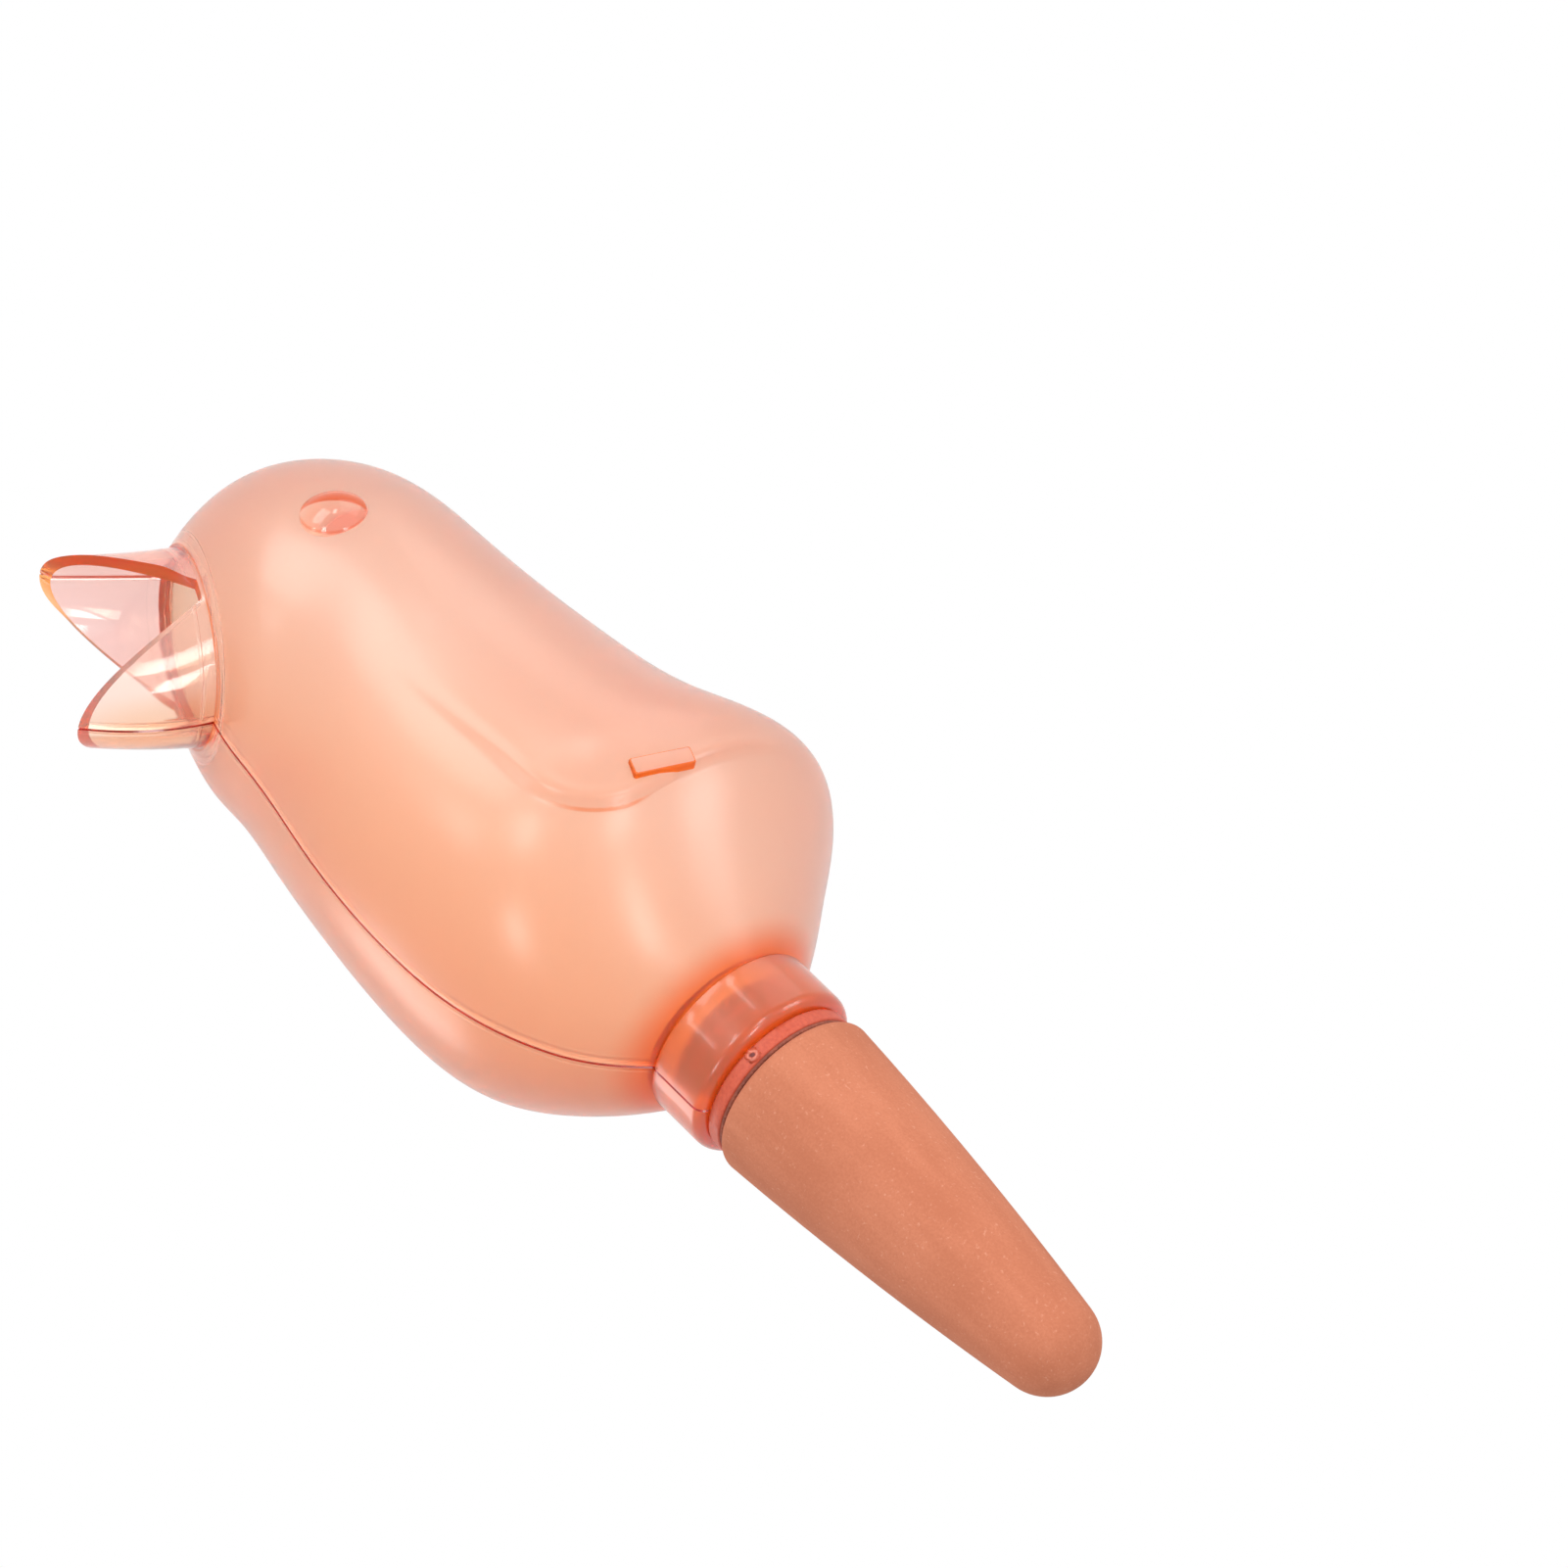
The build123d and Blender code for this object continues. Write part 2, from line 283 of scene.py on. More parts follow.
def peachPlastic():
    material, tree, shader, place = newMaterial("peachPlastic")
    look = plasticLook
    # clear beyond the ring and on a narrow collar behind it
    beyond = axisDistance(place, look["ringOut"], look["ringMiddle"])
    rise = axisDistance(place, look["ringUp"], look["ringMiddle"])
    side = axisDistance(place, (1, 0, 0), (0, 0, 0))
    across, upright = side / look["ringWide"], rise / look["ringTall"]
    spread = ((across * across + upright * upright).root() - 1.0) * look["ringMean"]
    offRing = (beyond * beyond + spread * spread).root()
    beak = beyond.between(-0.35, -0.05)
    collar = 1.0 - offRing.between(look["collar"] - 0.1, look["collar"] + 0.1)
    bead = 1.0 - (offRing - look["collar"]).size().between(0.15, 0.32)
    ringLine = 1.0 - offRing.between(0.12, 0.3)
    # glossy eye with a painted shade crescent across its top, the same on both sides
    left = leftSide(place)
    eyeHigh = axisDistance(left, look["eyeOut"], look["eyeSpot"])
    eyeWide = axisDistance(left, look["eyeAcrossWay"], look["eyeSpot"])
    eyeLift = axisDistance(left, look["eyeUpWay"], look["eyeSpot"])
    away = distanceTo(left, look["eyeSpot"])
    eyeFar = (away * away - eyeHigh * eyeHigh).root()
    outer = eyeHigh.between(-1.35, -1.1)
    eyeMask = 1.0 - eyeFar.between(look["eyeRadius"] - 0.15, look["eyeRadius"] + 0.15)
    ovalX, ovalY = eyeWide / look["shadeOvalWide"], (eyeLift + look["shadeOvalDrop"]) / look["shadeOvalTall"]
    beyondOval = (ovalX * ovalX + ovalY * ovalY).root().between(0.94, 1.06)
    eyeShade = outer * eyeMask * beyondOval * eyeLift.between(-0.6, 0.2)
    # painted shade line along the eye's lower rim
    eyeRim = 1.0 - (eyeFar - look["eyeRadius"]).size().between(0.08, 0.3)
    socket = outer * eyeRim * (1.0 - eyeLift.between(-2.0, 0.0))
    # the neck, and painted shade in the groove above it
    height = axisDistance(place, (0, 0, 1), (0, 0, 0))
    neck = 1.0 - height.between(look["neckTop"] - 0.1, look["neckTop"] + 0.1)
    groove = 1.0 - height.between(look["neckTop"], look["grooveTop"])
    lip = (1.0 - height.between(look["rimTop"] - look["rimDeep"], look["rimTop"])) * look["lipShare"]
    # painted shade towards the breast, painted sheen towards the back
    front = axisDistance(place, look["shadeSheenWay"], (0, 0, 0)).between(look["shadeSheenFrom"], look["shadeSheenTo"])
    cloud = (speckle(place, look["mottle"]) - 0.5) * (2 * look["mottleDeep"])
    tint = blendColour(place, front + cloud, look["shadedBodyTint"], look["sheenBodyTint"])
    tint = blendColour(place, collar.larger(bead), tint, look["collarTint"])
    clear = blendColour(place, rise.between(-5.0, 0.0), look["jawTint"], look["clearTint"])
    tint = blendColour(place, beak, tint, clear)
    jawFloor = beak * (1.0 - rise.between(look["floorFrom"], look["floorTo"]))
    tint = blendColour(place, jawFloor, tint, look["floorTint"])
    tint = blendColour(place, eyeMask, tint, look["eyeTint"])
    tint = blendColour(place, groove, tint, look["grooveShadeTint"])
    tint = blendColour(place, neck, tint, look["neckTint"])
    # painted shade line in the crease under the wing, on the outside only
    wingY = axisDistance(place, (0, 1, 0), look["wingCorner"])
    wingZ = axisDistance(place, (0, 0, 1), look["wingCorner"])
    ahead = (0.0 - wingY).larger(0.0)
    fold = (look["wingBend"] - (ahead * ahead + wingZ * wingZ).root() + look["creaseOff"]).size()
    creaseShade = (1.0 - fold.between(0.08, 0.36)) * wingY.between(-14.0, -10.0) * (1.0 - wingY.between(-3.0, 1.5))
    shareX = side / look["sideWide"]
    shareY = axisDistance(place, (0, 1, 0), (0, look["sideMiddle"], 0)) / look["sideDeep"]
    outside = (shareX * shareX + shareY * shareY).between(0.92, 0.94)
    creaseShade = creaseShade * (1.0 - wingZ.between(-6.5, -4.5)) * outside
    # painted orange glow on the marked edge faces, the neck's lower rim and the beak's ring line, joined by the
    # painted shade lines; the seam is a dark line
    rim = (1.0 - rise.between(-4.5, -2.5)) * (1.0 - beyond.between(6.0, 12.0)) * beyond.between(-0.5, 0.5)
    edge = mark(place, "edgeMark") * (1.0 - rim * look["farRimShare"])
    glowAndShade = edge.larger(creaseShade * look["creaseShadeShare"]).larger(socket * look["lowRimShadeShare"])
    glowAndShade = glowAndShade.larger(lip).larger(ringLine * look["ringShare"])
    tint = blendColour(place, glowAndShade, tint, look["edgeGlowTint"])
    tint = blendColour(place, eyeShade, tint, look["eyeShadeTint"])
    tint = blendColour(place, mark(place, "seamMark"), tint, look["seamTint"])
    gloss = beak.larger(eyeMask).larger(collar * 0.6).larger(bead)
    rough = gloss * (look["clearRough"] - look["bodyRough"]) + look["bodyRough"]
    rough = rough + neck * (look["neckRough"] - look["bodyRough"])
    rough = rough * (1.0 - edge) + edge * look["edgeRough"]
    setSockets(shader, IOR=look["ior"], Transmission_Weight=look["through"], Coat_Roughness=look["coatRough"])
    plug(shader, Base_Color=tint, Roughness=rough, Coat_Weight=neck * look["neckCoat"])
    # fine raised lines stand on the collar and beside the seam
    beside = 1.0 - (side.size() - look["seamLine"]).size().between(0.05, 0.4)
    raised = bead.larger(beside * (1.0 - neck)) * look["lineTall"]
    grain(shader, speckle(place, look["grain"], 2.0) * look["grainTall"] + raised, 1.0, 1.0)
    absorb = place.node("ShaderNodeVolumeAbsorption", {"Color": (*look["absorb"], 1), "Density": look["density"]})
    tree.links.new(absorb.socket, tree.nodes["Material Output"].inputs["Volume"])
    return material


# the bird bottle: one half is modelled, the other is its mirror image

bottle = {
    "around": 150,                 # columns on one half
    "neckRadius": 15.5, "neckBottom": 3.4, "neckTop": 14.7, "rimRound": 2.0,
    "shoulder": 0.6, "shoulderRound": 0.3, "bore": 12.7, "seat": 13.0, "seatTop": 4.8,
    "wall": 2.0, "beakWall": 1.7, "beakRun": 1.0, "throatRun": 3.0, "throatEnd": -1.75, "ringStep": 0.4,
    # height above the neck, tilt, reach to the front, depth, half width
    "sections": [(5.3, 0, 22.5, 44.5, 20.0), (13.3, 0, 29.0, 60.0, 27.2), (25.3, 0, 34.0, 75.8, 35.8),
                 (41.3, 0, 35.7, 72.0, 36.2), (59.3, 3, 34.4, 65.3, 34.0), (75.3, 15.92, 31.4, 61.29, 33.1),
                 (85.3, 35.81, 29.85, 62.78, 29.6), (91.3, 54.42, 28.95, 49.54, 23.5),
                 (95.3, 66.6, 28.0, 35.6, 15.5)],
    # distance from the ring, rise, half height, half width
    "beak": [(10, 0, 18.5, 12.8), (24, 1.9, 18.0, 12.3)],
    "rimRings": 8, "neckRings": 6, "shoulderRings": 5, "bodyRings": 170, "beakRings": 36,
    "hollowRings": 90, "hollowEnd": 0.004,
    "seamGroove": 0.22, "seamGap": 0.02,
}
wing = {
    "rise": 1.0, "front": -18.0, "bottom": 38.2, "corner": 13.7, "top": 84.7, "backFadeFrom": 8.0, "backFadeTo": 30.0,
    "softFront": 1.7, "softBottom": 1.0, "softFrom": 60.0, "softTo": 42.0,
    "step": 0.75, "ridge": 0.42, "ridgeWide": 1.2, "seamFade": 0.5,
}
gape = {
    "up": 44.5, "down": 30.5, "start": 0.4, "corner": 4.0, "round": 1.6, "reach": 60.0, "halfWide": 30.0,
    # the slanted corner of the upper edge: its slope, how far out and along it runs, and its rings
    "slant": 0.6, "slantRun": 5.0, "slantReach": 26.0, "slantRings": 64, "slantPast": 0.12,
    "slantFrom": 0.5, "slantTo": 7.0, "tipFrom": 0.8, "tipLess": 0.7, "slantLess": 0.03, "slantUnder": 0.05,
}
eye = {"radius": 5.3, "rise": 2.0, "y": -4.3, "z": 116.2, "sunk": 1.0, "rings": 96}
pad = {"length": 10.2, "height": 3.2, "slope": 18.0, "rise": 1.0, "sunk": 1.1, "y": -0.6, "z": 40.4, "round": 0.4,
       "topFacing": 0.96}
castFrom = 80.0


def bodyEnds():
    front = [(-bottle["neckRadius"] + bottle["shoulder"], bottle["neckTop"])]
    back = [(bottle["neckRadius"] - bottle["shoulder"], bottle["neckTop"])]
    half = [bottle["neckRadius"] - bottle["shoulder"]]
    for height, tilt, reach, depth, width in bottle["sections"]:
        low = (-reach, bottle["neckTop"] + height)
        front.append(low)
        back.append((low[0] + depth * cos(radians(tilt)), low[1] + depth * sin(radians(tilt))))
        half.append(width)
    return np.array(front), np.array(back), np.array(half)


def bodyCurves(at, inset=0.0):
    front, back, half = bodyEnds()
    steps = np.linalg.norm(np.diff((front + back) / 2, axis=0), axis=1)
    knots = np.concatenate([[0], np.cumsum(steps)])
    knots /= knots[-1]

    def along(t):
        low = np.stack([curveThrough(knots, front[:, i], t) for i in (0, 1)], 1)
        high = np.stack([curveThrough(knots, back[:, i], t) for i in (0, 1)], 1)
        return low, high, curveThrough(knots, half, t)

    low, high, width = along(at)
    if inset:
        tiny = 1e-4
        ahead, behind = along(np.minimum(at + tiny, 1)), along(np.maximum(at - tiny, 0))
        for here, side in ((low, 0), (high, 1)):
            way = ahead[side] - behind[side]
            way /= np.linalg.norm(way, axis=1, keepdims=True)
            inward = np.stack([way[:, 1], -way[:, 0]], 1) * (1 if side == 0 else -1)
            here += inward * inset
        width = width - inset
    return low, high, width


front, back, half = bodyEnds()
ringMiddle = (front[-1] + back[-1]) / 2
ringUp = (back[-1] - front[-1]) / np.linalg.norm(back[-1] - front[-1])
ringOut = np.array([-ringUp[1], ringUp[0]])
ringTall = np.linalg.norm(back[-1] - front[-1]) / 2
ringWide = half[-1]


def beakRing(distance, inset, lead):
    step = bottle["ringStep"]
    first = (-lead, 0.0, ringTall - step - inset, ringWide - step - inset)
    rows = [first] + [(d, rise, tall - inset, wide - inset) for d, rise, tall, wide in bottle["beak"]]
    table = np.array(rows)
    rise, tall, wide = [np.polyval(np.polyfit(table[:, 0], table[:, k], 2), distance) for k in (1, 2, 3)]
    middle = ringMiddle + ringOut * distance + ringUp * rise
    return middle - ringUp * tall, middle + ringUp * tall, wide


def neckRing(radius, height):
    return np.array([-radius, height]), np.array([radius, height]), radius


def bottleRings():
    outside, inside = [], []
    r, low, top = bottle["neckRadius"], bottle["neckBottom"], bottle["neckTop"]
    bend, soft = bottle["rimRound"], bottle["shoulderRound"]
    for a in np.linspace(0, pi / 2, bottle["rimRings"]):
        outside.append(neckRing(r - bend + bend * sin(a), low + bend - bend * cos(a)))
    for height in np.linspace(low + bend, top - soft, bottle["neckRings"])[1:]:
        outside.append(neckRing(r, height))
    for a in np.linspace(0, pi / 2, bottle["shoulderRings"])[1:]:
        outside.append(neckRing(r - soft + soft * cos(a), top - soft + soft * sin(a)))
    neckCount = len(outside)
    at = np.linspace(0, 1, bottle["bodyRings"])
    for ends in zip(*bodyCurves(at)):
        outside.append(ends)
    bodyCount = len(outside)
    for distance in np.linspace(0, bottle["beak"][-1][0], bottle["beakRings"]):
        outside.append(beakRing(distance, 0.0, bottle["beakRun"]))
    for distance in np.linspace(bottle["beak"][-1][0], bottle["throatEnd"], bottle["beakRings"]):
        inside.append(beakRing(distance, bottle["beakWall"], bottle["throatRun"]))
    at = np.linspace(1, bottle["hollowEnd"], bottle["hollowRings"])
    for ends in zip(*bodyCurves(at, bottle["wall"])):
        inside.append(ends)
    last = inside[-1][0][1]
    for radius, height in ((bottle["bore"], last), (bottle["bore"], (last + bottle["seatTop"]) / 2),
                           (bottle["bore"], bottle["seatTop"]), (bottle["seat"], bottle["seatTop"]),
                           (bottle["seat"], low), (r - bend, low)):
        inside.append(neckRing(radius, height))
    return outside + inside, neckCount, bodyCount


def wingSwell(y, z):
    inCorner = (y < wing["front"] + wing["corner"]) & (z < wing["bottom"] + wing["corner"])
    straight = np.minimum(y - wing["front"], z - wing["bottom"])
    rounded = wing["corner"] - np.hypot(y - wing["front"] - wing["corner"], z - wing["bottom"] - wing["corner"])
    depth = np.where(inCorner, rounded, straight)
    low = smoothStep(wing["softFrom"], wing["softTo"], z)
    soft = wing["softFront"] + (wing["softBottom"] - wing["softFront"]) * low
    edge = smoothStep(-0.5, 0.5, depth / soft)
    ridge = wing["ridge"] * np.exp(-((depth - soft) / (wing["ridgeWide"] * soft)) ** 2) * edge
    tall = np.clip((z - bottle["neckTop"]) / (wing["top"] - bottle["neckTop"]), 0, 1)
    fade = np.cos(pi / 2 * tall ** 2) * (1 - smoothStep(wing["backFadeFrom"], wing["backFadeTo"], y))
    return wing["rise"] * fade * (wing["step"] * edge + ridge)


def bottleHalf(finishes):
    rings, neckCount, bodyCount = bottleRings()
    columns = bottle["around"]
    turn = np.linspace(0, pi, columns + 1)
    startFresh()
    bpy.ops.mesh.primitive_grid_add(x_subdivisions=columns, y_subdivisions=len(rings) - 1, size=1)
    piece = takeNew("leftBodyHalf")
    spots = np.zeros((len(rings), columns + 1, 3))
    for row, (low, high, width) in enumerate(rings):
        middle, reach = (low + high) / 2, (high - low) / 2
        spots[row, :, 0] = width * np.sin(turn)
        spots[row, :, 1] = middle[0] + reach[0] * np.cos(turn)
        spots[row, :, 2] = middle[1] + reach[1] * np.cos(turn)
    spots[:, 0, 0] = spots[:, -1, 0] = bottle["seamGap"]
    # the wing swells out of the side
    body = spots[neckCount:bodyCount]
    body[..., 0] += wingSwell(body[..., 1], body[..., 2]) * np.sin(turn) ** wing["seamFade"]
    piece.data.vertices.foreach_set("co", (spots * mm).ravel())
    piece.data.update()
    outside = piece.vertex_groups.new(name="outside")
    outside.add(range((bodyCount + bottle["beakRings"]) * (columns + 1)), 1.0, "ADD")
    collar = piece.vertex_groups.new(name="collar")
    step = (bodyCount + 2 * bottle["beakRings"] - 1) * (columns + 1)
    collar.add(range(step, step + 2 * (columns + 1)), 1.0, "ADD")
    for finish in finishes:
        piece.data.materials.append(finish)
    nearSeam = bottle["seamGap"] * mm * 1.01
    # close the rim, then the two cut faces along the seam
    editOnly(piece)
    bpy.ops.mesh.select_all(action="SELECT")
    bpy.ops.mesh.remove_doubles(threshold=weldGap)
    editOnly(piece, "EDGE")
    bpy.ops.mesh.select_non_manifold(extend=False)
    bpy.ops.mesh.edge_face_add()
    bpy.ops.mesh.select_all(action="SELECT")
    bpy.ops.mesh.normals_make_consistent(inside=False)
    # the collar's inner face behind the ring
    shape = editOnly(piece, "FACE")
    weight = shape.verts.layers.deform.active
    pick(piece, shape, "FACE", lambda f: all(1 in v[weight] for v in f.verts))
    piece.active_material_index = 1
    bpy.ops.object.material_slot_assign()
    # a fine groove where the halves meet
    shape = editOnly(piece, "EDGE")
    weight = shape.verts.layers.deform.active
    pick(piece, shape, "EDGE", lambda e: all(abs(v.co.x) < nearSeam and 0 in v[weight] for v in e.verts))
    bpy.ops.mesh.bevel(offset=bottle["seamGroove"] * mm, segments=1, material=2)
    leaveEdit()
    return piece


def gapeWedge(finishes):
    # upright outline in the mirror plane, drawn out sideways
    up, down = radians(gape["up"]), radians(gape["down"])
    start, deep, reach = gape["start"], gape["corner"], gape["reach"]
    outline = [(start, -deep), (start, 0), (start + reach * cos(up), reach * sin(up)),
               (start + reach * cos(down), -deep - reach * sin(down))]
    startFresh()
    bpy.ops.mesh.primitive_cube_add(size=1)
    piece = takeNew("gapeWedge")
    shape = editOnly(piece, "EDGE")
    order = {(-1, -1): 0, (-1, 1): 1, (1, 1): 2, (1, -1): 3}
    for v in shape.verts:
        across = -gape["halfWide"] if v.co.x < 0 else gape["halfWide"]
        along, rise = outline[order[(1 if v.co.y > 0 else -1, 1 if v.co.z > 0 else -1)]]
        spot = ringMiddle + ringOut * along + ringUp * rise
        v.co = Vector((across, spot[0], spot[1])) * mm
    inner = [ringMiddle + ringOut * a + ringUp * b for a, b in outline[:2]]

    def isCorner(e):
        sideways = abs(e.verts[0].co.x - e.verts[1].co.x) > 0.05
        near = min(hypot(e.verts[0].co.y / mm - p[0], e.verts[0].co.z / mm - p[1]) for p in inner)
        return sideways and near < 0.01

    pick(piece, shape, "EDGE", isCorner)
    bpy.ops.mesh.bevel(offset=gape["round"] * mm, segments=8)
    bpy.ops.mesh.select_all(action="SELECT")
    bpy.ops.mesh.normals_make_consistent(inside=False)
    for finish in finishes:
        piece.data.materials.append(finish)
    piece.active_material_index = 1
    bpy.ops.object.material_slot_assign()
    leaveEdit()
    return piece


def rimSlant(finishes):
    # takes the outer corner off the upper jaw's cut edge, from the ring round to the tip
    up, run = radians(gape["up"]), gape["slantRun"]
    along = np.linspace(gape["start"], gape["slantReach"], 2000)
    low, high, wide = zip(*[beakRing(d, bottle["beakWall"], bottle["throatRun"]) for d in along])
    level = (along - gape["start"]) * np.tan(up)
    tall = np.array([np.linalg.norm(b - a) / 2 for a, b in zip(low, high)])
    rise = np.array([((a + b) / 2 - ringMiddle) @ ringUp for a, b in zip(low, high)])
    reach = 1 - ((level - rise) / tall) ** 2
    last = int(np.argmax(reach <= 0))
    turn = np.linspace(0, pi / 2 + gape["slantPast"], gape["slantRings"])
    distance = gape["start"] + (along[last] - gape["start"]) * np.sin(turn)
    x = np.interp(distance, along, np.array(wide) * np.sqrt(np.maximum(reach, 0))) * np.sign(pi / 2 - turn)
    s = (distance - gape["start"]) / cos(up)
    slopeX, slopeS = np.gradient(x), np.gradient(s)
    length = np.hypot(slopeX, slopeS)
    outX, outS = slopeS / length, -slopeX / length
    tip = 1 - gape["tipLess"] * smoothStep(gape["tipFrom"], 1.0, np.sin(turn))
    lift = run * gape["slant"] * smoothStep(gape["slantFrom"], gape["slantTo"], s) * tip - gape["slantLess"]
    under = -gape["slantUnder"]
    startFresh()
    bpy.ops.mesh.primitive_grid_add(x_subdivisions=3, y_subdivisions=len(turn) - 1, size=1)
    piece = takeNew("rimSlant")
    spots = []
    for i in range(len(turn)):
        farS, farX = s[i] + run * outS[i], x[i] + run * outX[i]
        corners = [(s[i], x[i], under), (farS, farX, under), (farS, farX, lift[i])]
        for ahead, across, above in corners + corners[:1]:
            place = (ringMiddle + ringOut * (gape["start"] + ahead * cos(up) - above * sin(up))
                     + ringUp * (ahead * sin(up) + above * cos(up)))
            spots.append((across, place[0], place[1]))
    piece.data.vertices.foreach_set("co", (np.array(spots) * mm).ravel())
    piece.data.update()
    editOnly(piece)
    bpy.ops.mesh.select_all(action="SELECT")
    bpy.ops.mesh.remove_doubles(threshold=weldGap)
    editOnly(piece, "EDGE")
    bpy.ops.mesh.select_non_manifold(extend=False)
    bpy.ops.mesh.edge_face_add()
    bpy.ops.mesh.select_all(action="SELECT")
    bpy.ops.mesh.normals_make_consistent(inside=False)
    for finish in finishes:
        piece.data.materials.append(finish)
    piece.active_material_index = 1
    bpy.ops.object.material_slot_assign()
    leaveEdit()
    return piece


def sideAt(piece, y, z):
    # where a line from far out on the left first meets the piece
    return piece.ray_cast(Vector((castFrom * mm, y * mm, z * mm)), Vector((-1, 0, 0)))[1:3]


def eyeDome(spot, normal):
    # a cap of a ball that stands square on the head
    ball = (eye["radius"] ** 2 + eye["rise"] ** 2) / (2 * eye["rise"])
    startFresh()
    bpy.ops.mesh.primitive_uv_sphere_add(segments=eye["rings"], ring_count=eye["rings"], radius=ball * mm,
                                         location=spot + normal * (eye["rise"] - ball) * mm,
                                         rotation=normal.to_track_quat("Z", "Y").to_euler())
    dome = takeNew("eyeDome")
    bpy.ops.object.transform_apply(location=True, rotation=True, scale=True)
    editOnly(dome, "FACE")
    bpy.ops.mesh.select_all(action="SELECT")
    bpy.ops.mesh.bisect(plane_co=spot - normal * eye["sunk"] * mm, plane_no=normal, use_fill=True,
                        clear_inner=True)
    leaveEdit()
    return dome


def sidePad(piece, finishes):
    spot, normal = sideAt(piece, pad["y"], pad["z"])
    startFresh()
    bpy.ops.mesh.primitive_cube_add(size=1)
    plate = takeNew("sidePad")
    deep = pad["sunk"] + pad["rise"]
    plate.data.transform(Matrix.Diagonal((deep * mm, pad["length"] * mm, pad["height"] * mm, 1)))
    lean = normal.to_track_quat("X", "Z").to_matrix().to_4x4()
    slope = Matrix.Rotation(radians(-pad["slope"]), 4, "X")
    middle = spot + normal * (pad["rise"] - deep / 2) * mm
    plate.data.transform(Matrix.Translation(middle) @ lean @ slope)
    applyModifier(plate, "BEVEL", width=pad["round"] * mm, segments=4, limit_method="ANGLE")
    for finish in finishes:
        plate.data.materials.append(finish)
    shape = editOnly(plate, "FACE")
    pick(plate, shape, "FACE", lambda f: abs(f.normal.dot(normal)) < pad["topFacing"])
    plate.active_material_index = 1
    bpy.ops.object.material_slot_assign()
    leaveEdit()
    return plate


bottleFinishes = [peachPlastic(), bpy.data.materials.new("edgeMark"), bpy.data.materials.new("seamMark")]
leftHalf = bottleHalf(bottleFinishes)
eyeSpot, eyeNormal = sideAt(leftHalf, eye["y"], eye["z"])
wedge, slant, plate = gapeWedge(bottleFinishes), rimSlant(bottleFinishes), sidePad(leftHalf, bottleFinishes)
dome = eyeDome(eyeSpot, eyeNormal)
applyModifier(leftHalf, "BOOLEAN", operation="DIFFERENCE", object=wedge, solver="EXACT")
applyModifier(leftHalf, "BOOLEAN", operation="DIFFERENCE", object=slant, solver="EXACT")
applyModifier(leftHalf, "BOOLEAN", operation="UNION", object=dome, solver="EXACT")
applyModifier(leftHalf, "BOOLEAN", operation="UNION", object=plate, solver="EXACT")
for tool in (wedge, slant, dome, plate):
    dropPiece(tool)
# the marked faces become values that the plastic reads; the edge mark carries the painted orange glow
for slot, finish in ((1, "edgeMark"), (2, "seamMark")):
    marked = leftHalf.data.attributes.new(finish, "FLOAT", "FACE")
    marked.data.foreach_set("value", [float(f.material_index == slot) for f in leftHalf.data.polygons])
leftHalf.data.polygons.foreach_set("material_index", [0] * len(leftHalf.data.polygons))
for finish in reversed(bottleFinishes[1:]):
    leftHalf.data.materials.pop()
    bpy.data.materials.remove(finish)
startFresh()
leftHalf.select_set(True)
bpy.context.view_layer.objects.active = leftHalf
bpy.ops.object.duplicate()
rightHalf = takeNew("rightBodyHalf")
rightHalf.data.transform(Matrix.Diagonal((-1, 1, 1, 1)))
editOnly(rightHalf)
bpy.ops.mesh.select_all(action="SELECT")
bpy.ops.mesh.flip_normals()
leaveEdit()
smoothBy(leftHalf)
smoothBy(rightHalf)
print("bottle halves modelled", len(leftHalf.data.polygons))


# cone, adapter, cement and seal

def cadCopy(node, name):
    # the solid's own mesh, welded and shaded smooth
    startFresh()
    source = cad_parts[node]
    piece = bpy.data.objects.new(name, source.data.copy())
    piece.data.name = name
    bpy.context.scene.collection.objects.link(piece)
    piece.data.transform(source.matrix_world)
    editOnly(piece)
    bpy.ops.mesh.select_all(action="SELECT")
    bpy.ops.mesh.remove_doubles(threshold=cadWeldGap)
    leaveEdit()
    piece.data.materials.clear()
    smoothBy(piece)
    return piece


clayCone = cadCopy("clay_cone", "clayCone")
adapter = cadCopy("thread_adapter", "threadAdapter")
cement = cadCopy("cone_cement", "coneCement")
ring = cadCopy("sealing_ring", "sealRing")
print("cone, adapter, cement and seal laid in")


clayLook = {"dark": (0.445, 0.143, 0.075), "light": (0.53, 0.186, 0.103), "dust": (0.70, 0.34, 0.23),
            "broadScale": 55.0, "wipedScale": 260.0, "fineScale": 2600.0, "dustScale": 1500.0,
            "wipedTurn": (0.0, 0.5, 0.6), "wipedStretch": (1.0, 1.0, 0.16), "dustShare": 0.35,
            "shine": 0.25, "rough": 0.8, "roughMore": 0.15, "grain": 0.35, "grainTall": 0.12}


def firedClay():
    material, tree, shader, place = newMaterial("firedClay")
    look = clayLook
    broad = speckle(place, look["broadScale"], 3.0)
    wiped = speckle(place, look["wipedScale"], 4.0, (look["wipedTurn"], look["wipedStretch"]))
    fine = speckle(place, look["fineScale"], 2.0)
    dust = speckle(place, look["dustScale"], 4.0).between(0.60, 0.74)
    shade = broad * 0.35 + wiped * 0.35 + fine * 0.3
    tint = blendColour(place, shade.between(0.34, 0.66), look["dark"], look["light"])
    tint = blendColour(place, dust * look["dustShare"], tint, look["dust"])
    setSockets(shader, Specular_IOR_Level=look["shine"])
    plug(shader, Base_Color=tint, Roughness=look["rough"] + fine * look["roughMore"])
    grain(shader, fine * 0.6 + wiped * 0.4, look["grain"], look["grainTall"])
    return material


flangeMark = {"spot": (11.03, -8.77, 1.9), "hole": 0.4, "torn": 0.95, "ragged": 0.8, "tornShare": 0.3,
              "tornTint": (0.85, 0.42, 0.33), "holeShadeTint": (0.12, 0.012, 0.008)}
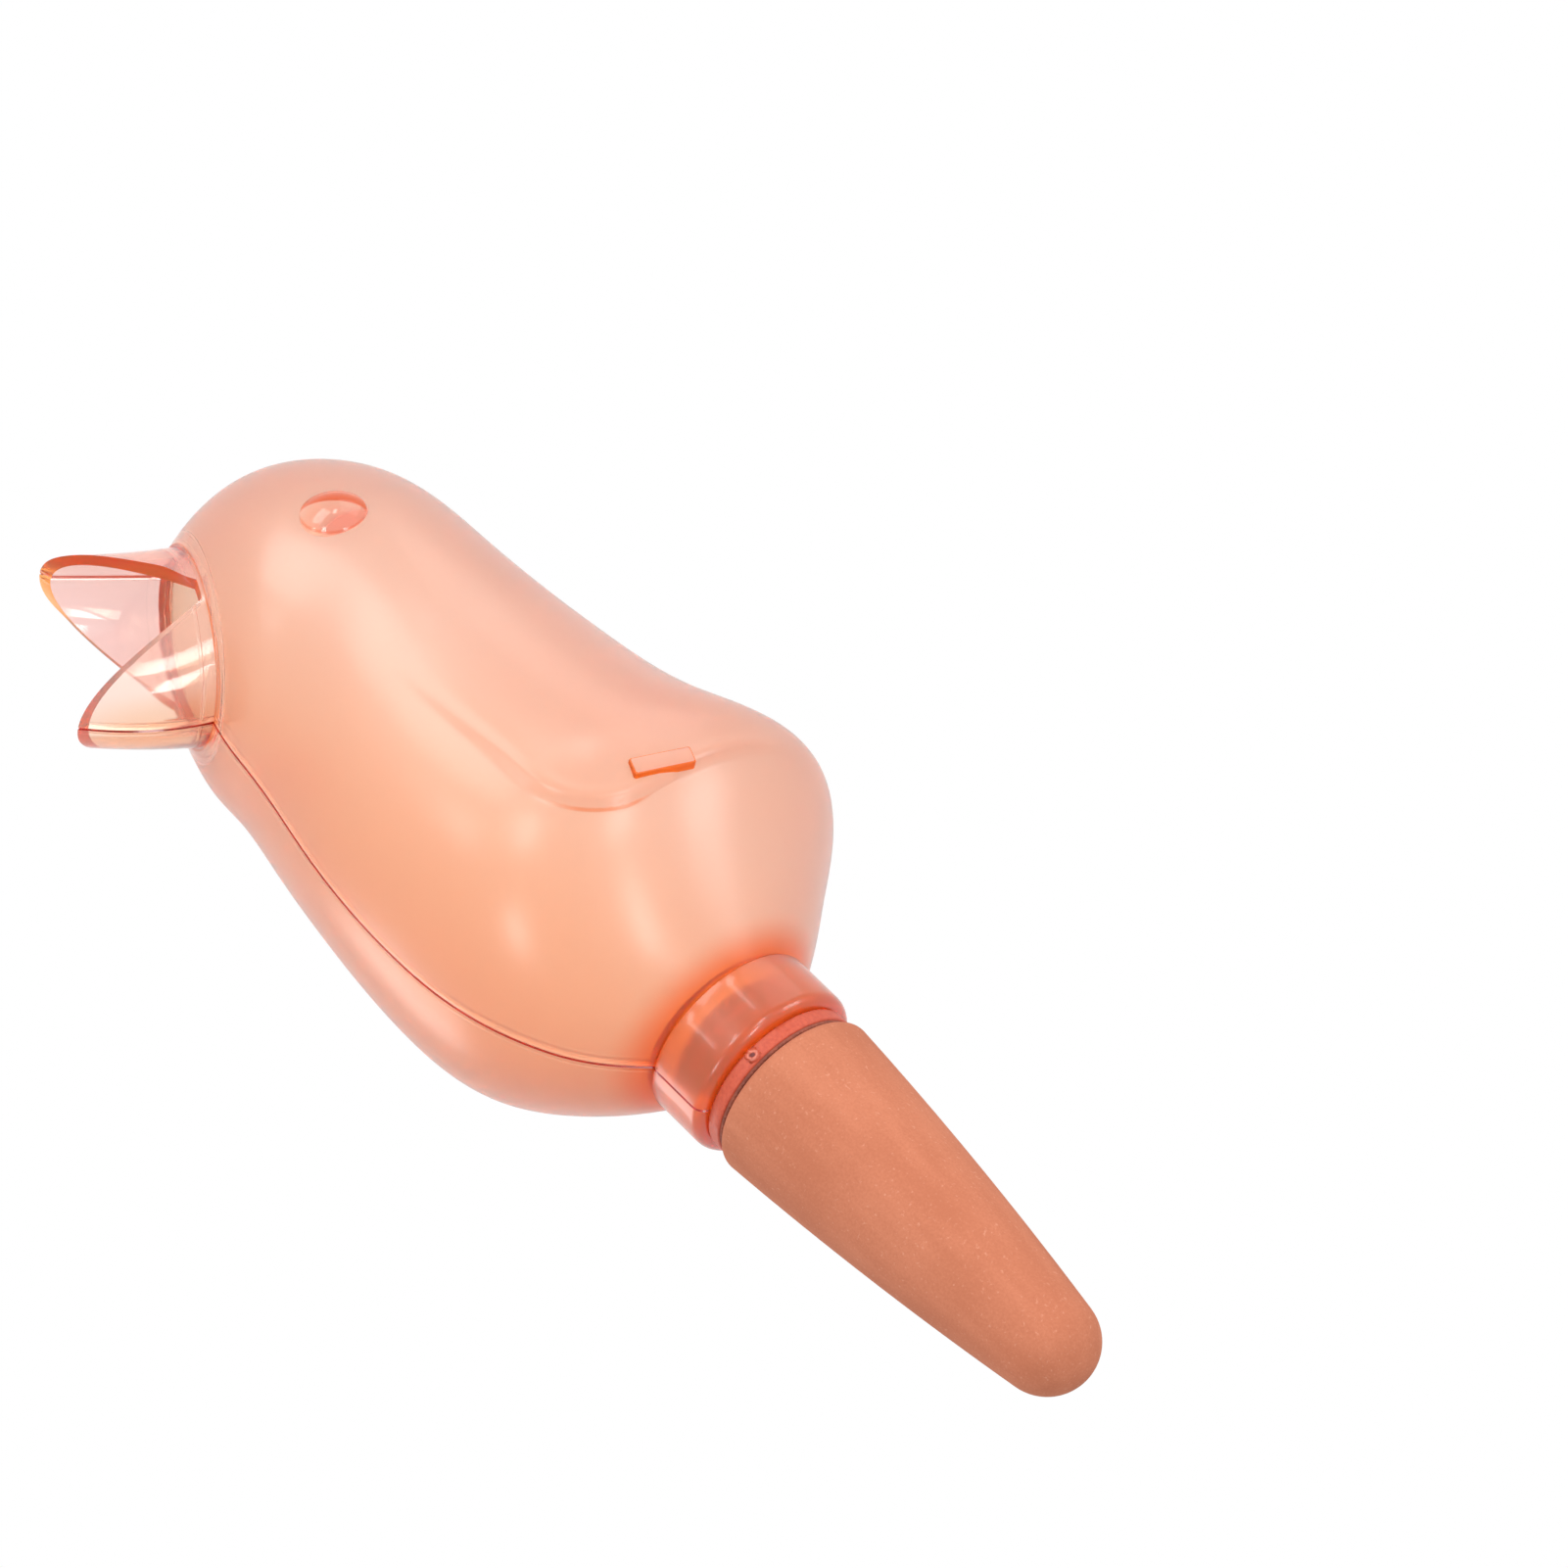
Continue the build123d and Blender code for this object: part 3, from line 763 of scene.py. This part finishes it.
# two tints, the speckle's scale and detail, roughness and what is added to it, the grain's strength and height
redLook = ((0.45, 0.055, 0.021), (0.53, 0.08, 0.033), 1800.0, 3.0, 0.42, 0.16, 0.12, 0.05)
bondLook = ((0.16, 0.035, 0.02), (0.30, 0.075, 0.04), 420.0, 4.0, 0.55, 0.4, 0.4, 0.2)
rubberLook = ((0.70, 0.67, 0.62), (0.79, 0.76, 0.72), 1500.0, 3.0, 0.52, 0.2, 0.15, 0.04)


def breakMark(place, tint, fine):
    # where the moulding was broken off its feed: pale torn plastic round a small hole painted dark as its shade
    hole, reach = flangeMark["hole"], flangeMark["torn"]
    off = distanceTo(place, flangeMark["spot"]) + (fine - 0.5) * flangeMark["ragged"]
    torn = (1.0 - off.between(reach - 0.2, reach)) * off.between(hole, hole + 0.3)
    tint = blendColour(place, torn * flangeMark["tornShare"], tint, flangeMark["tornTint"])
    return blendColour(place, 1.0 - off.between(hole - 0.1, hole + 0.15), tint, flangeMark["holeShadeTint"])


def speckled(name, look, extra=None):
    material, tree, shader, place = newMaterial(name)
    first, second, scale, detail, rough, roughMore, strength, tall = look
    fine = speckle(place, scale, detail)
    tint = blendColour(place, fine.between(0.3, 0.7), first, second)
    if extra:
        tint = extra(place, tint, fine)
    plug(shader, Base_Color=tint, Roughness=rough + fine * roughMore)
    grain(shader, fine, strength, tall)
    return material


clay, red = firedClay(), speckled("redPlastic", redLook, breakMark)
bond, rubber = speckled("coneBond", bondLook), speckled("paleRubber", rubberLook)
pieces = [(leftHalf, "bottle", "left_body_half", "bottle_plastic", None),
          (rightHalf, "bottle", "right_body_half", "bottle_plastic", None),
          (ring, "seal", "sealing_ring", "seal_rubber", rubber),
          (adapter, "spike", "thread_adapter", "adapter_plastic", red),
          (cement, "spike", "cone_cement", "cement", bond),
          (clayCone, "spike", "clay_cone", "fired_clay", clay)]
for piece, body, node, slot, material in pieces:
    if material:
        piece.data.materials.append(material)
    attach(piece, body)
    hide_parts(node)
print("materials given")


# floor, light and camera

stage = {"floorZ": -68.6, "floorSize": 3.0, "floorTint": (0.85, 0.84, 0.83, 1), "floorRough": 0.8,
         "world": 0.72, "bounces": 24, "lampAim": (0, 0, 50.0)}
view = {"target": (0, 0, 60.0), "back": (0.6845, -0.5445, -0.4848), "distance": 1200.0, "roll": (0.6978, 0.71629),
        "right": (0.6225, 0.7826, 0.0), "up": (0.3794, -0.3018, 0.8746), "aim": (37.6, 11.0),
        "lens": 174.58, "sensor": 36, "clip": (0.01, 20)}
# name, way (across, up and towards the camera), distance, size, watts
lamps = [
    ("keyBox", (-0.52, 0.79, 0.32), 0.9, (0.34, 0.5), 2.4),
    ("leftLowBox", (-0.57, -0.28, 0.77), 0.9, (0.13, 0.24), 1.1),
    ("leftHighBox", (-0.49, 0.42, 0.76), 0.9, (0.15, 0.24), 1.1),
    ("rightLowBox", (0.45, -0.06, 0.89), 0.9, (0.13, 0.24), 1.3),
    ("rightHighBox", (0.33, 0.40, 0.85), 0.9, (0.15, 0.24), 1.2),
    ("neckLeftBox", (-0.80, 0.36, 0.48), 0.9, (0.09, 0.2), 0.5),
    ("neckRightBox", (-0.10, 0.94, 0.315), 0.9, (0.09, 0.2), 0.45),
    ("sideBox", (0.85, 0.35, 0.38), 0.9, (0.3, 0.3), 1.7),
    ("underBox", (-0.75, -0.50, -0.43), 0.9, (0.4, 0.4), 1.6),
    ("topBox", (0.30, 0.95, -0.05), 1.1, (0.8, 0.6), 1.5),
]


def pageFloor():
    startFresh()
    bpy.ops.mesh.primitive_plane_add(size=stage["floorSize"], location=(0, 0, stage["floorZ"] * mm))
    floor = takeNew("paleFloor")
    material, tree, shader, place = newMaterial("paleFloor")
    setSockets(shader, Base_Color=stage["floorTint"], Roughness=stage["floorRough"])
    seen = place.node("ShaderNodeLightPath", out="Is Camera Ray")
    under = place.node("ShaderNodeNewGeometry", out="Backfacing")
    under = under.larger(1.0 - seen)
    clear = place.node("ShaderNodeBsdfTransparent")
    mix = place.node("ShaderNodeMixShader", {0: under, 1: Weave(tree, shader.outputs[0]), 2: clear})
    tree.links.new(mix.socket, tree.nodes["Material Output"].inputs["Surface"])
    floor.data.materials.append(material)


def whiteWorld():
    world = bpy.data.worlds.new("whitePage")
    bpy.context.scene.world = world
    world.use_nodes = True
    tree = world.node_tree
    plain = tree.nodes["Background"]
    plain.inputs["Color"].default_value = (1, 1, 1, 1)
    plain.inputs["Strength"].default_value = stage["world"]
    start = Weave(tree, plain.outputs[0])
    white = start.node("ShaderNodeBackground", {"Color": (1, 1, 1, 1), "Strength": 1.0})
    path = tree.nodes.new("ShaderNodeLightPath")
    seen = [Weave(tree, path.outputs[k]) for k in ("Is Camera Ray", "Is Glossy Ray", "Is Transmission Ray")]
    shown = seen[0].larger(seen[1]).larger(seen[2])
    mix = start.node("ShaderNodeMixShader", {0: shown, 1: start, 2: white})
    tree.links.new(mix.socket, tree.nodes["World Output"].inputs["Surface"])


def cameraAxes():
    right, up = Vector(view["right"]), Vector(view["up"])
    across = right * view["roll"][0] - up * view["roll"][1]
    upward = right * view["roll"][1] + up * view["roll"][0]
    return across, upward, Vector(view["back"])


def softBox(name, way, distance, size, watts):
    startFresh()
    across, upward, backWay = cameraAxes()
    middle = Vector(stage["lampAim"]) * mm
    away = (across * way[0] + upward * way[1] + backWay * way[2]).normalized()
    tall = (upward - away * upward.dot(away)).normalized()
    bpy.ops.object.light_add(type="AREA")
    lamp = bpy.context.active_object
    lamp.name = name
    lamp.data.shape = "RECTANGLE"
    lamp.data.size, lamp.data.size_y = size
    lamp.data.energy = watts
    turn = Matrix((tall.cross(away), tall, away)).transposed().to_4x4()
    lamp.matrix_world = Matrix.Translation(middle + away * distance) @ turn


def photoCamera():
    across, upward, backWay = cameraAxes()
    target = Vector(view["target"]) * mm
    spot = target + backWay * view["distance"] * mm
    aim = target + across * view["aim"][0] * mm + upward * view["aim"][1] * mm
    zAxis = (spot - aim).normalized()
    xAxis = (across - zAxis * across.dot(zAxis)).normalized()
    yAxis = zAxis.cross(xAxis)
    startFresh()
    bpy.ops.object.camera_add(location=spot)
    camera = bpy.context.active_object
    camera.name = "photoCamera"
    turn = Matrix((xAxis, yAxis, zAxis)).transposed().to_4x4()
    camera.matrix_world = Matrix.Translation(spot) @ turn
    camera.data.lens = view["lens"]
    camera.data.sensor_width = view["sensor"]
    camera.data.clip_start, camera.data.clip_end = view["clip"]
    bpy.context.scene.camera = camera


pageFloor()
whiteWorld()
for lamp in lamps:
    softBox(*lamp)
photoCamera()
bpy.context.scene.view_settings.view_transform = "Standard"
for kind in ("max_bounces", "glossy_bounces", "transmission_bounces"):
    setattr(bpy.context.scene.cycles, kind, stage["bounces"])
print("stage, light and camera set")
